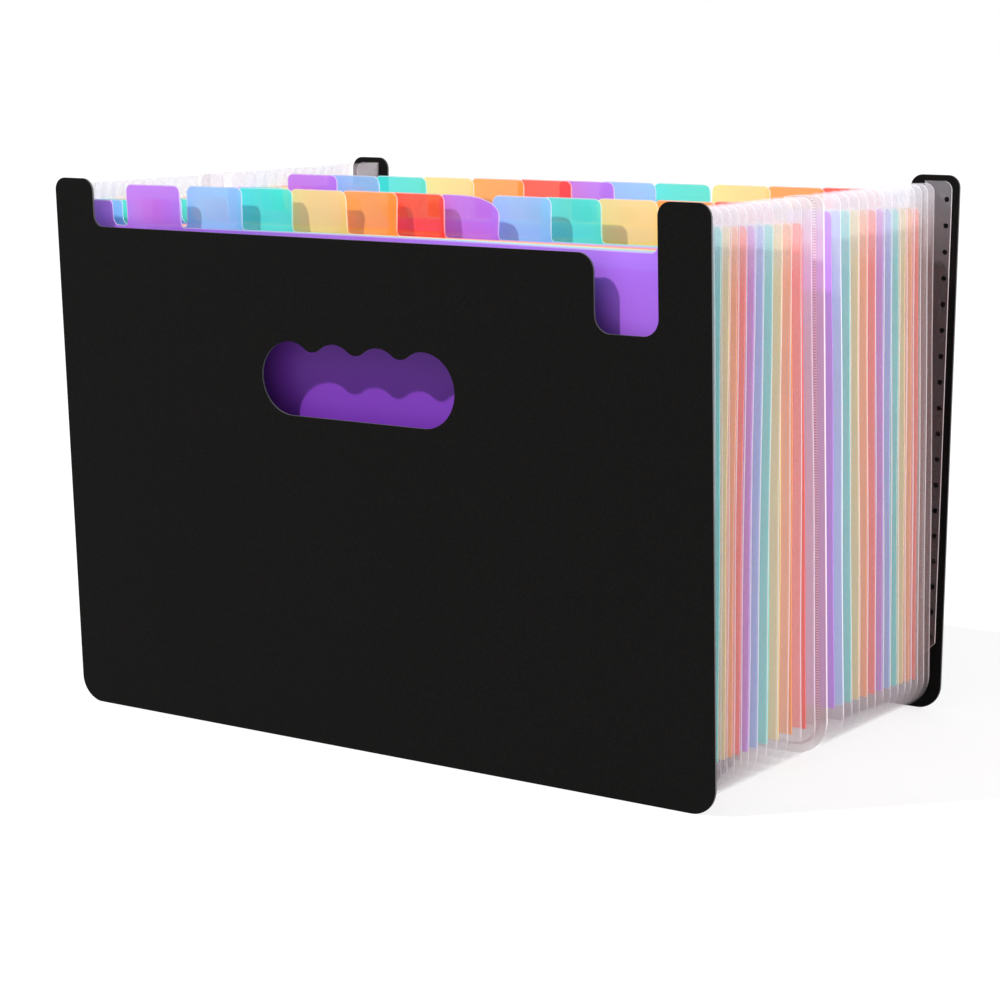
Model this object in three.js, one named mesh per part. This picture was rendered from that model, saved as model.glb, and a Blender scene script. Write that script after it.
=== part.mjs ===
// Expanding file folder: two black polypropylene covers, a clear pleated bellows in two
// halves, and 24 coloured dividers whose tabs step from left to right in two rows.
// X runs along the front cover, Y from the front cover to the rear one, Z up from the table.
import * as THREE from 'three';

// Overall sizes, in millimetres
const COVER_WIDTH = 330;
const COVER_HEIGHT = 235;
const COVER_THICKNESS = 1.2;
const OPEN_DEPTH = 197;          // outer face to outer face, at the table
const FRONT_SPLAY = 7.9;         // how far the front cover leans out at its top
const REAR_SPLAY = 6.8;

// Die-cut outline of the covers
const MAIN_EDGE_HEIGHT = 214.5;
const LEFT_EAR_WIDTH = 21.7;
const RIGHT_EAR_WIDTH = 23.2;
const EAR_RADIUS = 5.5;
const EAR_FILLET = 9;
const FOOT_RADIUS = 11;
const NOTCH_WIDTH = 28.6;
const NOTCH_BOTTOM = 184;
const NOTCH_RADIUS = 7;

// Grip hole with a scallop over each finger
const GRIP_LEFT = 128.4;         // centre of the left round end, from the cover's left edge
const GRIP_TOP = 171.2;
const GRIP_HEIGHT = 31;
const FINGER_PITCH = 22.6;
const FINGER_COUNT = 4;
const SCALLOP_DEPTH = 3.9;
const SCALLOP_RADIUS = 12;

// Pleated bellows film
const FILM_THICKNESS = 0.3;
const PLEAT_DEPTH = 13;          // from an outer fold to an inner one, at the sides
const FLOOR_PLEAT_DEPTH = 14;    // the same under the dividers
const BELLOWS_INSET = 3;         // outer folds inside the covers' side edges
const BELLOWS_CLEARANCE = 1;     // outer folds above the table
const BELLOWS_TOP = 232.5;
const BELLOWS_CORNER = 16;
const PLEAT_TIP_RADIUS = 4;
const WALL_LEAN = 1.5;           // an inner fold behind the outer fold of its own pleat
const FLAP_SETBACK = 3.7;        // free edge of a cover flap, from the outer folds
const FLAP_CORNER_CUT = 13;      // height of the slanted cut at the foot of a flap
const FLAP_CORNER_WIDTH = 2;    // what is left of the flap round the corner
const FLOOR_FLAP_INSET = 40;     // the flap is full again this far in from the sides

// How the accordion stands open: low is at the table, high at the top of the covers
const FRONT_GAP = { low: 3.5, high: 6 };      // front cover to the first outer fold
const REAR_GAP = { low: 4.7, high: 19.3 };    // last outer fold to the rear cover
const SEAM_SHARE = { low: 0.489, high: 0.436 };
const SEAM_BEFORE = 10.5;        // last fold of the front half to the seam
const SEAM_AFTER = 14;           // seam to the first fold of the rear half
const FRONT_BULGE = { low: 0.4, high: 0.1 };
const REAR_BULGE = { low: -0.1, high: -0.1 };

// Dividers
const DIVIDERS_PER_HALF = 12;
const SHEET_THICKNESS = 0.4;
const EDGE_SETBACK = 4;          // side edge of a divider inside the outer folds
const SHEET_BOTTOM = 17;
const SHOULDER_TOP = 225;
const SHOULDER_WIDTH = 20;
const TAB_TOP = 231.3;
const TAB_HEIGHT = 15.5;
const TAB_WIDTH = 29;
const TAB_INSET = 8.2;           // first tab from the left shoulder
const LAST_TAB_REACH = 8.5;      // last tab runs this far over the right shoulder
const TAB_RADIUS = 3;
const SHOULDER_RADIUS = 1.5;
const SHEET_LIFT = { first: 1.5, last: -1.7 };
const FRONT_TAB_DRIFT = [0, 5, 4.5, 6.5, 6, 4, 4.5, 3.5, 1, 0.5, 0.5, 0];
const REAR_TAB_DRIFT = [8, 4, 1.5, -1, -1, -3, -7, -13, -11, -8.5, -7, -7];
const CLEARANCE = 0.3;           // gap left between pieces that touch

// How finely arcs and folds are divided
const COVER_ARC_SEGMENTS = 3;
const SHEET_ARC_SEGMENTS = 1;
const TIP_STEPS = 2;
const CORNER_STEPS = 5;
const SHARPEST_MITRE = 2;        // on the outside of a fold, in half thicknesses of the film

const PALETTE = [
  ['violet', 0xa05ce6],
  ['blue', 0x6fa4e8],
  ['teal', 0x35d0c0],
  ['yellow', 0xffd27a],
  ['orange', 0xff943a],
  ['red', 0xfb4527],
];

const halfWidth = COVER_WIDTH / 2;
const atHeight = (pair, z) => pair.low + ((pair.high - pair.low) * z) / COVER_HEIGHT;

// Joins corners [x, z, radius] into a closed shape whose corners are true arcs
function roundedShape(corners) {
  const shape = new THREE.Shape();
  corners.forEach(([x, z, radius], index) => {
    const here = new THREE.Vector2(x, z);
    const before = new THREE.Vector2(...corners.at(index - 1)).sub(here).normalize();
    const after = new THREE.Vector2(...corners[(index + 1) % corners.length]).sub(here).normalize();
    const turn = after.cross(before) > 0 ? 1 : -1;
    const halfAngle = Math.acos(THREE.MathUtils.clamp(before.dot(after), -1, 1)) / 2;
    const reach = radius / Math.tan(halfAngle);
    const start = before.clone().multiplyScalar(reach).add(here);
    const end = after.clone().multiplyScalar(reach).add(here);
    const middle = before.clone().add(after).normalize();
    const centre = middle.multiplyScalar(radius / Math.sin(halfAngle)).add(here);
    const angle = (point) => Math.atan2(point.y - centre.y, point.x - centre.x);
    if (index === 0) shape.moveTo(start.x, start.y);
    else shape.lineTo(start.x, start.y);
    shape.absarc(centre.x, centre.y, radius, angle(start), angle(end), turn < 0);
  });
  shape.closePath();
  return shape;
}

// The grip hole: flat below, round at both ends, one scallop over each finger.
// Each dip between two scallops is an arc tangent to both of them.
function gripHole() {
  const endRadius = GRIP_HEIGHT / 2;
  const middle = GRIP_TOP - endRadius;
  const left = GRIP_LEFT - halfWidth;
  const right = left + FINGER_PITCH * (FINGER_COUNT - 1);
  const halfPitch = FINGER_PITCH / 2;
  const sweep = 2 * Math.atan(SCALLOP_DEPTH / halfPitch);
  const dipRadius = halfPitch / Math.sin(sweep) - SCALLOP_RADIUS;
  const up = Math.PI / 2;
  const hole = new THREE.Path();
  hole.moveTo(left, middle - endRadius);
  hole.lineTo(right, middle - endRadius);
  hole.absarc(right, middle, endRadius, -up, up, false);
  for (let finger = FINGER_COUNT - 1; finger > 0; finger -= 1) {
    const peak = left + finger * FINGER_PITCH;
    hole.absarc(peak, GRIP_TOP - SCALLOP_RADIUS, SCALLOP_RADIUS, up, up + sweep, false);
    const dipHeight = GRIP_TOP - SCALLOP_DEPTH + dipRadius;
    hole.absarc(peak - halfPitch, dipHeight, dipRadius, sweep - up, -sweep - up, true);
    hole.absarc(peak - FINGER_PITCH, GRIP_TOP - SCALLOP_RADIUS, SCALLOP_RADIUS, up - sweep, up, false);
  }
  hole.absarc(left, middle, endRadius, up, 3 * up, false);
  return hole;
}

// One cover, die-cut from flat board, with two ears; only the front one has the notch
function coverShape(withNotch) {
  const earLeft = LEFT_EAR_WIDTH - halfWidth;
  const earRight = halfWidth - RIGHT_EAR_WIDTH;
  const notchCorners = [
    [earRight, NOTCH_BOTTOM, NOTCH_RADIUS],
    [earRight - NOTCH_WIDTH, NOTCH_BOTTOM, NOTCH_RADIUS],
    [earRight - NOTCH_WIDTH, MAIN_EDGE_HEIGHT, EAR_FILLET],
  ];
  const plainCorner = [[earRight, MAIN_EDGE_HEIGHT, EAR_FILLET]];
  const shape = roundedShape([
    [-halfWidth, 0, FOOT_RADIUS],
    [halfWidth, 0, FOOT_RADIUS],
    [halfWidth, COVER_HEIGHT, EAR_RADIUS],
    [earRight, COVER_HEIGHT, EAR_RADIUS],
    ...(withNotch ? notchCorners : plainCorner),
    [earLeft, MAIN_EDGE_HEIGHT, EAR_FILLET],
    [earLeft, COVER_HEIGHT, EAR_RADIUS],
    [-halfWidth, COVER_HEIGHT, EAR_RADIUS],
  ]);
  shape.holes.push(gripHole());
  return shape;
}

// Stands a flat shape upright, with its front face at Y = 0 and its back face at Y = thickness
function uprightSheet(shape, thickness, curveSegments) {
  const sheet = new THREE.ExtrudeGeometry(shape, { depth: thickness, bevelEnabled: false, curveSegments });
  sheet.rotateX(Math.PI / 2);
  sheet.translate(0, thickness, 0);
  return sheet;
}

function cover(name, withNotch, splay) {
  const board = uprightSheet(coverShape(withNotch), COVER_THICKNESS, COVER_ARC_SEGMENTS);
  const lean = new THREE.Matrix4().makeShear(0, 0, 0, 0, 0, splay / COVER_HEIGHT);
  const material = new THREE.MeshStandardMaterial({ color: 0x161616, roughness: 0.62, metalness: 0 });
  const mesh = new THREE.Mesh(board.applyMatrix4(lean), material);
  mesh.name = name;
  return mesh;
}

// Inner faces of the two covers, and the seam where the two halves of the bellows meet
const frontFace = { low: COVER_THICKNESS, high: COVER_THICKNESS - FRONT_SPLAY };
const rearFace = { low: OPEN_DEPTH - COVER_THICKNESS, high: OPEN_DEPTH - COVER_THICKNESS + REAR_SPLAY };
const bothLevels = (rule) => ({ low: rule('low'), high: rule('high') });
const bothHalves = bothLevels((level) => rearFace[level] - frontFace[level]);
const seam = bothLevels((level) => frontFace[level] + SEAM_SHARE[level] * bothHalves[level]);

// Outer folds of one half, spread between its first and its last one
function outerFolds(first, last, count, bulge) {
  return Array.from({ length: count }, (_, index) => {
    const share = index / (count - 1);
    return bothLevels((level) => {
      const spread = (1 - bulge[level]) * share + bulge[level] * share ** 3;
      return first[level] + (last[level] - first[level]) * spread;
    });
  });
}
const frontFolds = outerFolds(
  bothLevels((level) => frontFace[level] + FRONT_GAP[level]),
  bothLevels((level) => seam[level] - SEAM_BEFORE),
  DIVIDERS_PER_HALF,
  FRONT_BULGE,
);
const rearFolds = outerFolds(
  bothLevels((level) => seam[level] + SEAM_AFTER),
  bothLevels((level) => rearFace[level] - REAR_GAP[level]),
  DIVIDERS_PER_HALF + 1,
  REAR_BULGE,
);

// Stations of the bellows' U-shaped run: down the left side, along the floor, up the right side.
// outer is a point of the outer folds and inner the facing point of the inner folds.
function bellowsStations() {
  const foldX = halfWidth - BELLOWS_INSET;
  const cornerX = foldX - BELLOWS_CORNER;
  const cornerZ = BELLOWS_CLEARANCE + BELLOWS_CORNER;
  const side = (z, tipInset, flapEdge) => ({
    outer: [foldX, z],
    inner: [foldX - PLEAT_DEPTH, z],
    tipInset,
    flapEdge,
  });
  const right = [];
  for (let step = TIP_STEPS; step >= 0; step -= 1) {
    const angle = (step / TIP_STEPS) * (Math.PI / 2);
    const z = BELLOWS_TOP - PLEAT_TIP_RADIUS * (1 - Math.sin(angle));
    const tipInset = PLEAT_TIP_RADIUS * (1 - Math.cos(angle));
    right.push(side(z, tipInset, FLAP_SETBACK + tipInset));
  }
  right.push(side(cornerZ + FLAP_CORNER_CUT, 0, FLAP_SETBACK));
  for (let step = 0; step <= CORNER_STEPS; step += 1) {
    const angle = (step / CORNER_STEPS) * (Math.PI / 2);
    const across = Math.cos(angle);
    const down = Math.sin(angle);
    const depth = THREE.MathUtils.lerp(PLEAT_DEPTH, FLOOR_PLEAT_DEPTH, step / CORNER_STEPS);
    right.push({
      outer: [cornerX + BELLOWS_CORNER * across, cornerZ - BELLOWS_CORNER * down],
      inner: [
        cornerX + (BELLOWS_CORNER - PLEAT_DEPTH) * across,
        cornerZ - (BELLOWS_CORNER - FLOOR_PLEAT_DEPTH) * down,
      ],
      tipInset: 0,
      flapEdge: depth - FLAP_CORNER_WIDTH,
    });
  }
  right.push({
    outer: [foldX - FLOOR_FLAP_INSET, BELLOWS_CLEARANCE],
    inner: [foldX - FLOOR_FLAP_INSET, BELLOWS_CLEARANCE + FLOOR_PLEAT_DEPTH],
    tipInset: 0,
    flapEdge: FLAP_SETBACK,
  });
  const mirrored = right.map((station) => ({
    ...station,
    outer: [-station.outer[0], station.outer[1]],
    inner: [-station.inner[0], station.inner[1]],
  }));
  return [...mirrored, ...right.reverse()];
}

// Zigzag section at one station, as [depth below the outer folds, fold line] pairs
function pleatSection(folds, station, coverLine, seamLine, coverIsFirst) {
  const full = Math.hypot(station.outer[0] - station.inner[0], station.outer[1] - station.inner[1]);
  const pleats = folds.flatMap((fold) => {
    const behind = bothLevels((level) => fold[level] + WALL_LEAN);
    return [
      [station.tipInset, fold],
      [full, behind],
    ];
  });
  const coverFlap = [
    [station.flapEdge, coverLine],
    [full, coverLine],
  ];
  const seamFlap = [
    [full, seamLine],
    [station.tipInset, seamLine],
  ];
  if (coverIsFirst) return [...coverFlap, ...pleats, ...seamFlap];
  return [...seamFlap.reverse(), ...pleats.slice(0, -1), ...coverFlap.reverse()];
}

// Moves each point of an open line sideways by offset. The corners are mitred, in full on
// the inside of a fold and up to SHARPEST_MITRE times the offset on its outside.
function offsetLine(points, offset) {
  const normals = points.slice(1).map((point, index) => {
    const along = new THREE.Vector2().subVectors(point, points[index]).normalize();
    return new THREE.Vector2(-along.y, along.x);
  });
  return points.map((point, index) => {
    const before = normals[Math.max(index - 1, 0)];
    const after = normals[Math.min(index, normals.length - 1)];
    const middle = before.clone().add(after).normalize();
    const mitre = 1 / middle.dot(after);
    const isOutside = before.cross(after) * offset < 0;
    const reach = isOutside ? Math.min(mitre, SHARPEST_MITRE) : mitre;
    return point.clone().addScaledVector(middle, offset * reach);
  });
}

// Splits each cell of a box's back face along the same diagonal as the cell before it on the
// front face, so that a thin box keeps its thickness where its cells are twisted
function splitAlike(box) {
  const cells = box.index.array;
  const { start, count } = box.groups.at(-1);
  for (let cell = start; cell < start + count; cell += 6) {
    const [a, b, d, , c] = cells.slice(cell, cell + 5);
    cells.set([a, b, c, a, c, d], cell);
  }
}

// One half of the bellows: a flat grid of film, carried along the U and folded in zigzag
function bellows(name, folds, coverLine, seamLine, coverIsFirst) {
  const stations = bellowsStations();
  const surfaces = stations.map((station) => {
    const [outerX, outerZ] = station.outer;
    const [innerX, innerZ] = station.inner;
    const full = Math.hypot(outerX - innerX, outerZ - innerZ);
    const section = pleatSection(folds, station, coverLine, seamLine, coverIsFirst);
    const line = section.map(([depth, fold]) => {
      const z = THREE.MathUtils.lerp(outerZ, innerZ, depth / full);
      return new THREE.Vector2(depth, atHeight(fold, z));
    });
    return [-1, 1].map((side) =>
      offsetLine(line, (side * FILM_THICKNESS) / 2).map(({ x: depth, y }) => [
        THREE.MathUtils.lerp(outerX, innerX, depth / full),
        y,
        THREE.MathUtils.lerp(outerZ, innerZ, depth / full),
      ]),
    );
  });
  const along = stations.length - 1;
  const across = surfaces[0][0].length - 1;
  const film = new THREE.BoxGeometry(1, 1, 1, along, across, 1);
  const corners = film.attributes.position;
  for (let index = 0; index < corners.count; index += 1) {
    const station = Math.round((corners.getX(index) + 0.5) * along);
    const fold = Math.round((corners.getY(index) + 0.5) * across);
    const side = corners.getZ(index) > 0 ? 0 : 1;
    corners.setXYZ(index, ...surfaces[station][side][fold]);
  }
  splitAlike(film);
  film.computeVertexNormals();
  const material = new THREE.MeshStandardMaterial({
    color: 0xf3e9ee,
    roughness: 0.35,
    metalness: 0,
    transparent: true,
    opacity: 0.35,
  });
  const mesh = new THREE.Mesh(film, material);
  mesh.name = name;
  return mesh;
}

// Outline of a divider, with a shoulder at each side and one tab; the last tab
// of a row runs over the right shoulder, so there is no dip between them
function dividerShape(tabLeft) {
  const edge = halfWidth - BELLOWS_INSET - EDGE_SETBACK;
  const shoulder = edge - SHOULDER_WIDTH;
  const bodyTop = TAB_TOP - TAB_HEIGHT;
  const tabRight = tabLeft + TAB_WIDTH;
  const meetsShoulder = tabRight > shoulder - 2 * TAB_RADIUS;
  const rightSide = meetsShoulder
    ? [[tabRight, SHOULDER_TOP, SHOULDER_RADIUS]]
    : [
        [shoulder, SHOULDER_TOP, SHOULDER_RADIUS],
        [shoulder, bodyTop, TAB_RADIUS],
        [tabRight, bodyTop, SHOULDER_RADIUS],
      ];
  return roundedShape([
    [-edge, SHEET_BOTTOM, SHOULDER_RADIUS],
    [edge, SHEET_BOTTOM, SHOULDER_RADIUS],
    [edge, SHOULDER_TOP, SHOULDER_RADIUS],
    ...rightSide,
    [tabRight, TAB_TOP, TAB_RADIUS],
    [tabLeft, TAB_TOP, TAB_RADIUS],
    [tabLeft, bodyTop, SHOULDER_RADIUS],
    [-shoulder, bodyTop, TAB_RADIUS],
    [-shoulder, SHOULDER_TOP, SHOULDER_RADIUS],
    [-edge, SHOULDER_TOP, SHOULDER_RADIUS],
  ]);
}

// A divider lies against the rear wall of its own pleat, and leans as the pleat does
function divider(order, fold, place, drift) {
  const shoulder = halfWidth - BELLOWS_INSET - EDGE_SETBACK - SHOULDER_WIDTH;
  const firstTab = TAB_INSET - shoulder;
  const lastTab = shoulder + LAST_TAB_REACH - TAB_WIDTH;
  const tabLeft = THREE.MathUtils.lerp(firstTab, lastTab, place) + drift;
  const lift = THREE.MathUtils.lerp(SHEET_LIFT.first, SHEET_LIFT.last, place);
  const wallOffset = (WALL_LEAN * EDGE_SETBACK) / PLEAT_DEPTH - FILM_THICKNESS / 2;
  const [colourName, colour] = PALETTE[(order - 1) % PALETTE.length];
  const material = new THREE.MeshStandardMaterial({
    color: colour,
    roughness: 0.45,
    metalness: 0,
    transparent: true,
    opacity: 0.92,
  });
  const sheet = uprightSheet(dividerShape(tabLeft), SHEET_THICKNESS, SHEET_ARC_SEGMENTS);
  const mesh = new THREE.Mesh(sheet, material);
  mesh.name = `divider_${String(order).padStart(2, '0')}_${colourName}`;
  mesh.position.set(0, atHeight(fold, lift) + wallOffset - CLEARANCE - SHEET_THICKNESS, lift);
  mesh.rotation.x = Math.atan((fold.low - fold.high) / COVER_HEIGHT);
  return mesh;
}

const folder = new THREE.Group();
const flapGap = CLEARANCE + FILM_THICKNESS / 2;
const seamGap = (CLEARANCE + FILM_THICKNESS) / 2;
const shifted = (line, distance) => bothLevels((level) => line[level] + distance);

folder.add(cover('front_cover', true, -FRONT_SPLAY));
const rearCover = cover('rear_cover', false, REAR_SPLAY);
rearCover.position.y = OPEN_DEPTH - COVER_THICKNESS;
folder.add(rearCover);
const frontEnds = [shifted(frontFace, flapGap), shifted(seam, -seamGap)];
const rearEnds = [shifted(rearFace, -flapGap), shifted(seam, seamGap)];
folder.add(bellows('front_bellows', frontFolds, ...frontEnds, true));
folder.add(bellows('rear_bellows', rearFolds, ...rearEnds, false));
[frontFolds, rearFolds].forEach((folds, half) => {
  folds.slice(0, DIVIDERS_PER_HALF).forEach((fold, index) => {
    const place = index / (DIVIDERS_PER_HALF - 1);
    const order = half * DIVIDERS_PER_HALF + index + 1;
    const drift = half === 0 ? FRONT_TAB_DRIFT[index] : REAR_TAB_DRIFT[index];
    folder.add(divider(order, fold, place, drift));
  });
});

// The origin is on the table, under the middle of the open folder
folder.position.y = -(OPEN_DEPTH + REAR_SPLAY - FRONT_SPLAY) / 2;
const part = new THREE.Group();
part.add(folder);

export default part;
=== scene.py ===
import bpy
import numpy as np
from mathutils import Matrix, Vector


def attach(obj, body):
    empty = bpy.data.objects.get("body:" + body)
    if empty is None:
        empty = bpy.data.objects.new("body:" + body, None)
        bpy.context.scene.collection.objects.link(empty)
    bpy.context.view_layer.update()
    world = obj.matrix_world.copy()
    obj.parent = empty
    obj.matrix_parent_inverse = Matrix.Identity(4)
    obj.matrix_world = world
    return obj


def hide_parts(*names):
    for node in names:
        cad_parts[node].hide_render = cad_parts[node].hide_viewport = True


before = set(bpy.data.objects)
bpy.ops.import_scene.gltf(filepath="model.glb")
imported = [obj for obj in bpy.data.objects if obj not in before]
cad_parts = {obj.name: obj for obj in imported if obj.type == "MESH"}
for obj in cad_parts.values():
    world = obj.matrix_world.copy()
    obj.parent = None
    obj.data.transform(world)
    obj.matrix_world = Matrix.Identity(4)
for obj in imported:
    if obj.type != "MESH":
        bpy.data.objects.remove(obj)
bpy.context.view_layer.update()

MM = 0.001
scene = bpy.context.scene


# Studio and camera.
# A folder on a pale table, seen from in front of its right-hand edge by a long lens, with one
# hard lamp high on the left, whose shadow shows through the notch, and soft light all round.
CAMERA_PLACE = (656.3, -945.25, 299.1)
CAMERA_TURN = 34.91
CAMERA_TILT = 10.16
CAMERA_ROLL = -0.24
FOCAL_PIXELS = 2647.1
IMAGE_PIXELS = 1000
SENSOR_WIDTH = 36.0
CLIP_START = 0.05
KEY_DIRECTION = (0.92, 1.0, -1.4)
KEY_STRENGTH = 4.0
KEY_ANGLE = 2.0
FILL_POWER = 70.0
FILL_PLACE = (2.0, 0.35, 0.75)
FILL_AIM = (0.1, 0.0, 0.1)
FILL_SIZE = 1.4
ROOM_LIGHT = 0.45
FLOOR_SIZE = 30.0
TABLE_GREY = "#989798"
TABLE_ROUGHNESS = 0.8
TABLE_GLOSS = 0.1
TABLE_GLOW = 0.65
PLEATS_CROSSED = 24
LIGHT_BOUNCES = 3


def linear(hex_colour):
    """sRGB hex to linear RGBA: x / 12.92 below 0.04045, else ((x + 0.055) / 1.055) to the power 2.4."""
    srgb = np.array([int(hex_colour[i:i + 2], 16) for i in (1, 3, 5)]) / 255
    rgb = np.where(srgb <= 0.04045, srgb / 12.92, ((srgb + 0.055) / 1.055) ** 2.4)
    return (*rgb.tolist(), 1.0)


def add_node(tree, kind, inputs=None, **settings):
    """Adds one node with its settings. Each input is a value, or another node's output to link."""
    node = tree.nodes.new(kind)
    for name, value in settings.items():
        setattr(node, name, value)
    for socket, value in (inputs or {}).items():
        if isinstance(value, bpy.types.NodeSocket):
            tree.links.new(value, node.inputs[socket])
        else:
            node.inputs[socket].default_value = value
    return node


def new_material(name):
    """An empty node material and its tree."""
    material = bpy.data.materials.new(name)
    material.use_nodes = True
    material.node_tree.nodes.clear()
    return material, material.node_tree


camera_data = bpy.data.cameras.new("camera")
camera_data.sensor_width = SENSOR_WIDTH
camera_data.lens = FOCAL_PIXELS * SENSOR_WIDTH / IMAGE_PIXELS
camera_data.clip_start = CLIP_START
camera = bpy.data.objects.new("camera", camera_data)
turn, tilt, roll = np.radians([CAMERA_TURN, CAMERA_TILT, CAMERA_ROLL])
back = Vector((np.sin(turn) * np.cos(tilt), -np.cos(turn) * np.cos(tilt), np.sin(tilt)))
level_right = (-back).cross(Vector((0, 0, 1))).normalized()
level_up = level_right.cross(-back)
right = level_right * np.cos(roll) + level_up * np.sin(roll)
up = level_up * np.cos(roll) - level_right * np.sin(roll)
facing = Matrix((right, up, back)).transposed().to_4x4()
camera.matrix_world = Matrix.Translation(Vector(CAMERA_PLACE) * MM) @ facing
scene.collection.objects.link(camera)
scene.camera = camera

key_data = bpy.data.lights.new("key_lamp", "SUN")
key_data.energy = KEY_STRENGTH
key_data.angle = np.radians(KEY_ANGLE)
key = bpy.data.objects.new("key_lamp", key_data)
key.rotation_euler = Vector(KEY_DIRECTION).to_track_quat("-Z", "Y").to_euler()
scene.collection.objects.link(key)

fill_data = bpy.data.lights.new("fill_lamp", "AREA")
fill_data.energy = FILL_POWER
fill_data.size = FILL_SIZE
fill = bpy.data.objects.new("fill_lamp", fill_data)
fill.location = FILL_PLACE
fill.rotation_euler = (Vector(FILL_AIM) - fill.location).to_track_quat("-Z", "Y").to_euler()
scene.collection.objects.link(fill)


def seen_directly(tree):
    """1 for what the camera sees, straight or by way of gloss or glass, and 0 for light on the object."""
    path = add_node(tree, "ShaderNodeLightPath").outputs
    by_gloss = add_node(tree, "ShaderNodeMath", {0: path["Is Camera Ray"], 1: path["Is Glossy Ray"]},
                        operation="MAXIMUM")
    seen = add_node(tree, "ShaderNodeMath", {0: by_gloss.outputs[0], 1: path["Is Transmission Ray"]},
                    operation="MAXIMUM")
    return seen.outputs[0]


def white_laminate():
    """A matt laminate table top: pale and even, with a faint gloss, and lit up only to the eye, so
    that it looks white without throwing more light on the folder."""
    material, tree = new_material("white_laminate_table")
    glow = add_node(tree, "ShaderNodeMath", {0: seen_directly(tree), 1: TABLE_GLOW}, operation="MULTIPLY")
    laminate = add_node(tree, "ShaderNodeBsdfPrincipled", {
        "Base Color": linear(TABLE_GREY), "Roughness": TABLE_ROUGHNESS, "Specular IOR Level": TABLE_GLOSS,
        "Emission Color": (1, 1, 1, 1), "Emission Strength": glow.outputs[0]})
    add_node(tree, "ShaderNodeOutputMaterial", {"Surface": laminate.outputs[0]})
    return material


world = bpy.data.worlds.new("white_room")
world.use_nodes = True
scene.world = world
room = world.node_tree
room.nodes.clear()
strength = add_node(room, "ShaderNodeMapRange", {
    "Value": seen_directly(room), "To Min": ROOM_LIGHT, "To Max": 1.0})
light = add_node(room, "ShaderNodeBackground", {"Color": (1, 1, 1, 1), "Strength": strength.outputs[0]})
add_node(room, "ShaderNodeOutputWorld", {"Surface": light.outputs[0]})

floor_mesh = bpy.data.meshes.new("floor")
reach = FLOOR_SIZE / 2
floor_corners = [(-reach, -reach, 0), (reach, -reach, 0), (reach, reach, 0), (-reach, reach, 0)]
floor_mesh.from_pydata(floor_corners, [], [(0, 1, 2, 3)])
floor_mesh.materials.append(white_laminate())
floor = bpy.data.objects.new("floor", floor_mesh)
scene.collection.objects.link(floor)

scene.view_settings.view_transform = "Standard"
scene.cycles.transparent_max_bounces = PLEATS_CROSSED
scene.cycles.diffuse_bounces = LIGHT_BOUNCES


# Front and rear covers.
# Two boards of black polypropylene, 1.2 mm thick, embossed with a fine leather-like grain and
# die-cut with two ears and a scalloped grip hole; only the front one has the notch.
COVER_WIDTH = 330.0
COVER_HEIGHT = 235.0
COVER_THICKNESS = 1.2
OPEN_DEPTH = 197.0
FRONT_SPLAY = 7.9
REAR_SPLAY = 6.8
MAIN_EDGE_HEIGHT = 214.5
LEFT_EAR_WIDTH = 21.7
RIGHT_EAR_WIDTH = 23.2
EAR_RADIUS = 5.5
LEFT_FILLET = 5.0
EAR_FILLET = 9.0
NOTCH_SHOULDER = 7.0
FOOT_RADIUS = 11.0
NOTCH_WIDTH = 28.6
NOTCH_BOTTOM = 184.0
NOTCH_RADIUS = 7.0
GRIP_LEFT = 128.4
GRIP_TOP = 171.2
GRIP_HEIGHT = 31.0
FINGER_PITCH = 22.6
FINGER_COUNT = 4
SCALLOP_DEPTH = 3.9
SCALLOP_RADIUS = 12.0
EDGE_ROUNDING = 0.22
EDGE_STEPS = 2
ARC_STEPS = 12
Y_SHIFT = -(OPEN_DEPTH + REAR_SPLAY - FRONT_SPLAY) / 2

BOARD_BLACK = "#080707"
GRAIN_BLACK = "#121110"
CUT_GREY_AND_GLINT = "#585858"
POLYPROPYLENE_IOR = 1.49
BOARD_GLOSS = 0.05
BOARD_ROUGHNESS = (0.56, 0.68)
DULL_PATCH = 71.4
DULL_DETAIL = 2.0
GRAIN_PITCH = 0.9
GRAIN_DEPTH = 0.12
GRAIN_STRENGTH = 0.6


def arc(centre, radius, start, end, steps=ARC_STEPS):
    """Points at centre + radius * (cos a, sin a), with a from start to end."""
    angle = np.linspace(start, end, steps + 1)
    return np.asarray(centre) + radius * np.stack([np.cos(angle), np.sin(angle)], 1)


def rounded(corners):
    """A closed outline whose corners [x, z, radius] are replaced by arcs tangent to both sides."""
    corners = np.asarray(corners, float)
    points = []
    for before, here, after in zip(np.roll(corners, 1, 0), corners, np.roll(corners, -1, 0)):
        to_before = (before[:2] - here[:2]) / np.linalg.norm(before[:2] - here[:2])
        to_after = (after[:2] - here[:2]) / np.linalg.norm(after[:2] - here[:2])
        half_angle = np.arccos(np.clip(to_before @ to_after, -1, 1)) / 2
        middle = (to_before + to_after) / np.linalg.norm(to_before + to_after)
        centre = here[:2] + middle * here[2] / np.sin(half_angle)
        tangent = here[2] / np.tan(half_angle)
        start = here[:2] + to_before * tangent - centre
        end = here[:2] + to_after * tangent - centre
        first = np.arctan2(start[1], start[0])
        sweep = (np.arctan2(end[1], end[0]) - first + np.pi) % (2 * np.pi) - np.pi
        points.append(arc(centre, here[2], first, first + sweep))
    return np.concatenate(points)


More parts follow.
